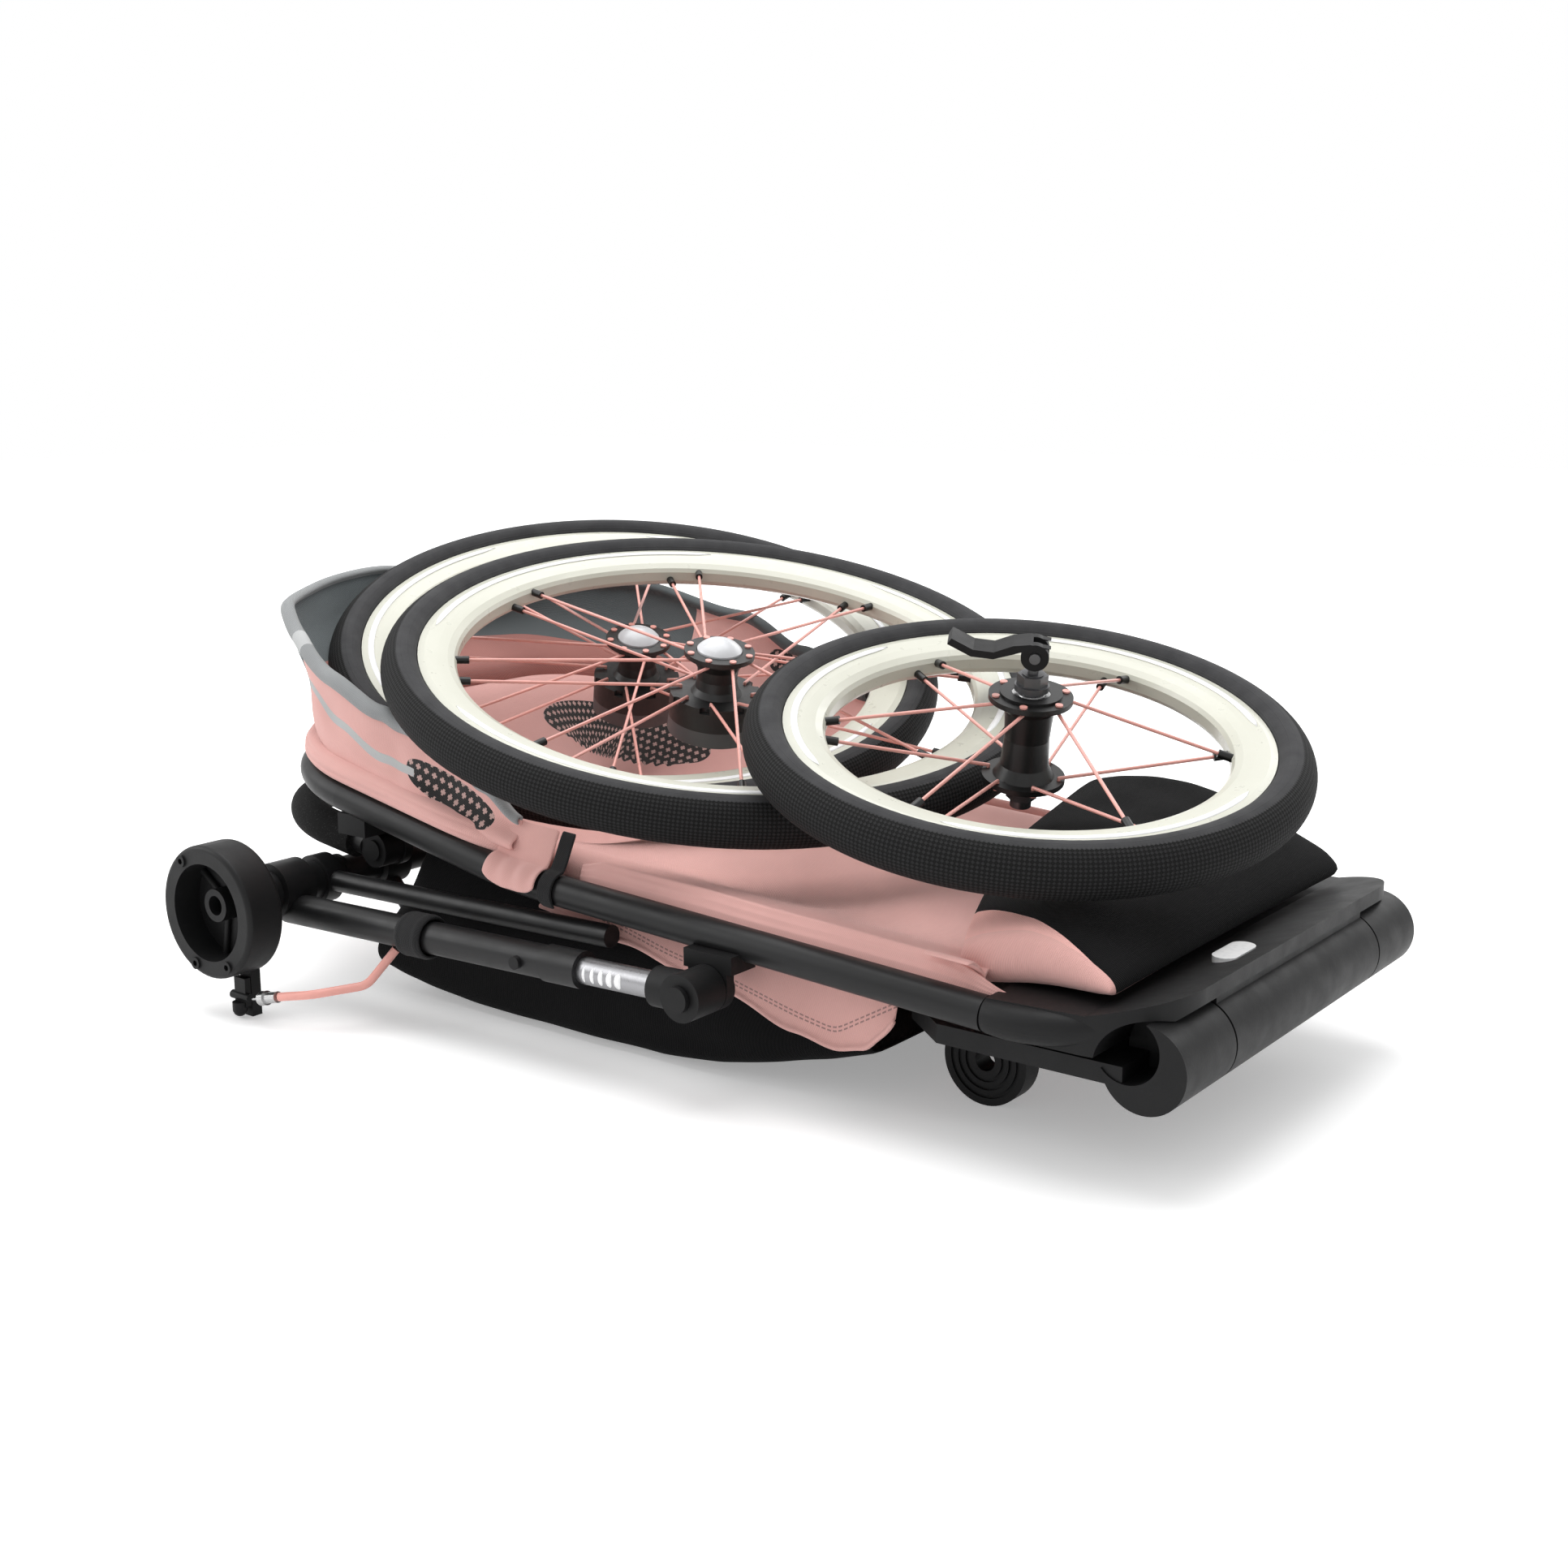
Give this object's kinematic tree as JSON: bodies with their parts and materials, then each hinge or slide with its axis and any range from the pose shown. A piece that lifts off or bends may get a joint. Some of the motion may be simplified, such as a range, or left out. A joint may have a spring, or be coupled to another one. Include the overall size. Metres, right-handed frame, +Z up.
{
  "type": "pet stroller",
  "caption": "Three-wheel jogging stroller folded flat, its spoked air wheels taken off and stacked on the seat; chassis, fork, handlebar, brakes and wheels move.",
  "frame": {"origin": "on the floor under the middle of the whole box", "axes": "+X towards the footrest, +Y to the stroller's left side, +Z up"},
  "size_m": [0.73, 0.517, 0.2656],
  "materials": {
    "black_tube": "satin",
    "silver_tube": "brushed",
    "steel": "satin",
    "black_plastic": "fine grain",
    "white_reflector": "prismatic",
    "foam": "speckled foam",
    "elastomer": "matt",
    "pink_sleeve": "satin",
    "pink_cloth": "woven",
    "black_cloth": "woven",
    "grey_cloth": "woven",
    "tyre": "matt",
    "cream_rim": "gloss",
    "pink_paint": "gloss",
    "black_metal": "gloss",
    "grey_plastic": "satin"
  },
  "bodies": {
    "seat_frame": {"frame_tube": "black_tube", "footrest": "black_plastic", "footrest_reflector": "white_reflector", "fork_hinge_rod": "steel", "fold_brackets": "black_plastic", "handlebar_brackets": "black_plastic", "seat_cover": "pink_cloth", "seat_edge_trims": "pink_cloth", "calf_rest_pad": "black_cloth", "seat_flaps": "pink_cloth", "storage_basket": "black_cloth", "hood_straps": "black_cloth"},
    "hood": {"hood": "grey_cloth"},
    "rear_legs": {"leg_knuckles": "black_plastic", "fold_pins": "steel", "suspension_tubes": "silver_tube"},
    "rear_axle": {"leg_struts": "black_tube", "suspension_elastomers": "elastomer", "axle_tube": "black_tube", "carrier_tubes": "black_tube", "brake_housings": "black_plastic", "basket_straps": "black_cloth", "cable_adjusters": "steel", "brake_cables": "pink_sleeve"},
    "strut_button_right": {"strut_button_right": "black_plastic"},
    "strut_button_left": {"strut_button_left": "black_plastic"},
    "brake_arm_right": {"brake_arm_right": "black_plastic"},
    "brake_arm_left": {"brake_arm_left": "black_plastic"},
    "parking_pedal": {"parking_pedal": "black_plastic"},
    "handlebar": {"handlebar_tube": "black_tube", "handlebar_grip": "foam", "handlebar_joints": "black_plastic"},
    "front_fork": {"front_fork": "black_plastic"},
    "rear_wheel_lower_carrier": {"rear_wheel_lower_axle_pin": "steel"},
    "rear_wheel_lower": {"rear_wheel_lower_tyre": "tyre", "rear_wheel_lower_inner_tube": "elastomer", "rear_wheel_lower_rim": "cream_rim", "rear_wheel_lower_spokes": "pink_paint", "rear_wheel_lower_nipples": "black_metal", "rear_wheel_lower_hub": "black_metal", "rear_wheel_lower_bearings": "steel"},
    "rear_wheel_lower_button": {"rear_wheel_lower_button": "grey_plastic"},
    "rear_wheel_upper_carrier": {"rear_wheel_upper_axle_pin": "steel"},
    "rear_wheel_upper": {"rear_wheel_upper_tyre": "tyre", "rear_wheel_upper_inner_tube": "elastomer", "rear_wheel_upper_rim": "cream_rim", "rear_wheel_upper_spokes": "pink_paint", "rear_wheel_upper_nipples": "black_metal", "rear_wheel_upper_hub": "black_metal", "rear_wheel_upper_bearings": "steel"},
    "rear_wheel_upper_button": {"rear_wheel_upper_button": "grey_plastic"},
    "front_wheel_carrier": {"front_wheel_axle": "steel"},
    "front_wheel": {"front_wheel_tyre": "tyre", "front_wheel_inner_tube": "elastomer", "front_wheel_rim": "cream_rim", "front_wheel_spokes": "pink_paint", "front_wheel_nipples": "black_metal", "front_wheel_hub": "black_metal", "front_wheel_bearings": "steel"},
    "front_wheel_lever": {"front_wheel_lever": "black_plastic"}
  },
  "joints": [
    {"name": "chassis_fold", "type": "hinge", "parent": "seat_frame", "child": "rear_legs", "pos_m": [0.10204, -0.01934, 0.065], "axis": [0, -1, 0], "range_deg": [0, 70]},
    {"name": "rear_suspension", "type": "slide", "parent": "rear_legs", "child": "rear_axle", "axis": [0.9997, 0, 0.0253], "range_m": [0, 0.01], "stiffness_N_per_m": 12000, "springref_m": -0.001},
    {"name": "strut_button_right_press", "type": "slide", "parent": "rear_axle", "child": "strut_button_right", "axis": [0, 1, 0], "range_m": [0, 0.002], "stiffness_N_per_m": 800, "springref_m": -0.001},
    {"name": "strut_button_left_press", "type": "slide", "parent": "rear_axle", "child": "strut_button_left", "axis": [0, -1, 0], "range_m": [0, 0.002], "stiffness_N_per_m": 800, "springref_m": -0.001},
    {"name": "brake_arm_right_pull", "type": "hinge", "parent": "rear_axle", "child": "brake_arm_right", "pos_m": [-0.21196, -0.24134, 0.02], "axis": [0, -1, 0], "range_deg": [0, 12], "stiffness_Nm_per_rad": 0.6, "springref_deg": -5.73},
    {"name": "brake_arm_left_pull", "type": "hinge", "parent": "rear_axle", "child": "brake_arm_left", "pos_m": [-0.21196, 0.20266, 0.02], "axis": [0, -1, 0], "range_deg": [0, 12], "stiffness_Nm_per_rad": 0.6, "springref_deg": -5.73},
    {"name": "parking_pedal_press", "type": "hinge", "parent": "rear_axle", "child": "parking_pedal", "pos_m": [-0.22196, -0.11734, 0.069], "axis": [0, 1, 0], "range_deg": [0, 20]},
    {"name": "handlebar_turn", "type": "hinge", "parent": "seat_frame", "child": "handlebar", "pos_m": [-0.18196, -0.01934, 0.091], "axis": [0, -1, 0], "range_deg": [0, 60]},
    {"name": "fork_fold", "type": "hinge", "parent": "seat_frame", "child": "front_fork", "pos_m": [0.34304, -0.01934, 0.067], "axis": [0, -1, 0], "range_deg": [0, 150]},
    {"name": "hood_tilt", "type": "hinge", "parent": "seat_frame", "child": "hood", "pos_m": [-0.07096, -0.01934, 0.108], "axis": [0, -1, 0], "range_deg": [0, 4]},
    {"name": "rear_wheel_lower_lift", "type": "slide", "parent": "seat_frame", "child": "rear_wheel_lower_carrier", "axis": [0, 0, 1], "range_m": [0, 0.2]},
    {"name": "rear_wheel_lower_spin", "type": "hinge", "parent": "rear_wheel_lower_carrier", "child": "rear_wheel_lower", "pos_m": [-0.15486, 0.05676, 0.1858], "axis": [0.262, -0.21, 0.9419], "continuous": true},
    {"name": "rear_wheel_lower_button_press", "type": "slide", "parent": "rear_wheel_lower_carrier", "child": "rear_wheel_lower_button", "axis": [-0.262, 0.21, -0.9419], "range_m": [0, 0.004], "stiffness_N_per_m": 900, "springref_m": -0.002},
    {"name": "rear_wheel_upper_lift", "type": "slide", "parent": "rear_wheel_lower_carrier", "child": "rear_wheel_upper_carrier", "axis": [0, 0, 1], "range_m": [0, 0.2]},
    {"name": "rear_wheel_upper_spin", "type": "hinge", "parent": "rear_wheel_upper_carrier", "child": "rear_wheel_upper", "pos_m": [-0.03676, -0.00324, 0.1947], "axis": [0.227, -0.152, 0.962], "continuous": true},
    {"name": "rear_wheel_upper_button_press", "type": "slide", "parent": "rear_wheel_upper_carrier", "child": "rear_wheel_upper_button", "axis": [-0.227, 0.152, -0.962], "range_m": [0, 0.004], "stiffness_N_per_m": 900, "springref_m": -0.002},
    {"name": "front_wheel_lift", "type": "slide", "parent": "rear_wheel_upper_carrier", "child": "front_wheel_carrier", "axis": [0, 0, 1], "range_m": [0, 0.2]},
    {"name": "front_wheel_spin", "type": "hinge", "parent": "front_wheel_carrier", "child": "front_wheel", "pos_m": [0.19524, -0.02284, 0.1805], "axis": [0.176, -0.178, 0.9682], "continuous": true},
    {"name": "quick_release_lever", "type": "hinge", "parent": "front_wheel_carrier", "child": "front_wheel_lever", "pos_m": [0.20475, -0.03245, 0.23278], "axis": [-0.4644, 0.8522, 0.2411], "range_deg": [0, 150]}
  ],
  "couplings": [
    {"joint": "handlebar_turn", "follows": "chassis_fold", "ratio": 0.8}
  ]
}
